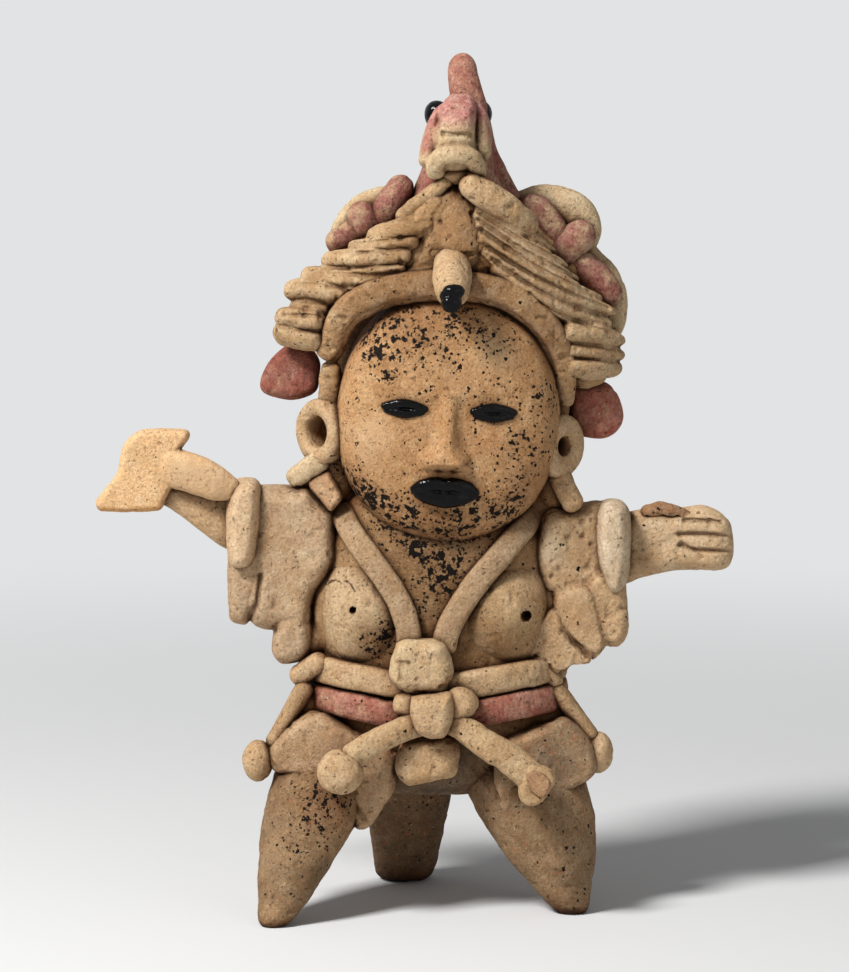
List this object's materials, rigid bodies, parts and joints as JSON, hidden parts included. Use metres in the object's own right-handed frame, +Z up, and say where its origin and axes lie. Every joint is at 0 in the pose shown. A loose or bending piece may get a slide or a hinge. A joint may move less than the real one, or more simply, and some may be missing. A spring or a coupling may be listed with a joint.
{
  "type": "terracotta standing figure",
  "caption": "Hollow terracotta standing figure with a bird headdress, ear spools, capes, belts and a fan, on two front legs and a rear prop.",
  "frame": {"origin": "centre of the figure's bounding box in plan, at the level of the ground it stands on", "axes": "+Z up from the feet to the crest, -Y the way the figure faces, +X to the figure's own left"},
  "size_m": [0.217, 0.0932, 0.2926],
  "materials": {
    "clay": "unglazed buff terracotta, worn and pitted",
    "pale_clay": "unglazed terracotta with a pale mineral bloom",
    "orange_clay": "unglazed orange-buff terracotta",
    "sooted_clay": "unglazed terracotta with grey-brown fire clouding",
    "red_paint": "worn red iron-oxide paint over terracotta",
    "bitumen": "glossy black natural bitumen over terracotta"
  },
  "bodies": {
    "root": {"torso_shell": "clay", "leg_right": "sooted_clay", "leg_left": "sooted_clay", "leg_rear": "sooted_clay", "head_shell": "clay", "face_plate": "clay", "nose": "clay", "lips": "bitumen", "eyelid_right": "bitumen", "eyelid_left": "bitumen", "headdress_cap": "clay", "brow_band": "clay", "ear_spool_right": "clay", "ear_spool_left": "clay", "crest_mantle": "red_paint", "bird_breast": "clay", "bird_upper_beak": "pale_clay", "bird_lower_beak": "pale_clay", "crest_knob": "red_paint", "bird_eye_right": "bitumen", "bird_eye_left": "bitumen", "brow_peg": "clay", "wing_right": "pale_clay", "wing_left": "pale_clay", "side_flap_right": "red_paint", "side_flap_left": "red_paint", "coil_right": "pale_clay", "coil_left": "pale_clay", "twist_right": "red_paint", "twist_left": "red_paint", "ear_pendant_right": "pale_clay", "ear_pendant_left": "clay", "sleeve_right": "clay", "sleeve_left": "clay", "forearm_right": "clay", "hand_left": "clay", "cuff_right": "clay", "cuff_left": "pale_clay", "fan_blade": "orange_clay", "belt_upper": "clay", "belt_lower": "red_paint", "strap_right": "pale_clay", "strap_left": "pale_clay", "breast_right": "clay", "breast_left": "clay", "buckle": "pale_clay", "knot_bow": "clay", "knot": "clay", "kilt_panel_right": "clay", "kilt_panel_left": "clay", "loincloth": "clay", "sash_tail_right": "clay", "sash_tail_left": "clay", "tassel_ball": "clay", "belt_end_right": "clay", "belt_end_left": "clay", "hip_cord_right": "clay", "hip_cord_left": "clay", "hip_ball_right": "clay", "hip_ball_left": "clay"}
  },
  "joints": []
}
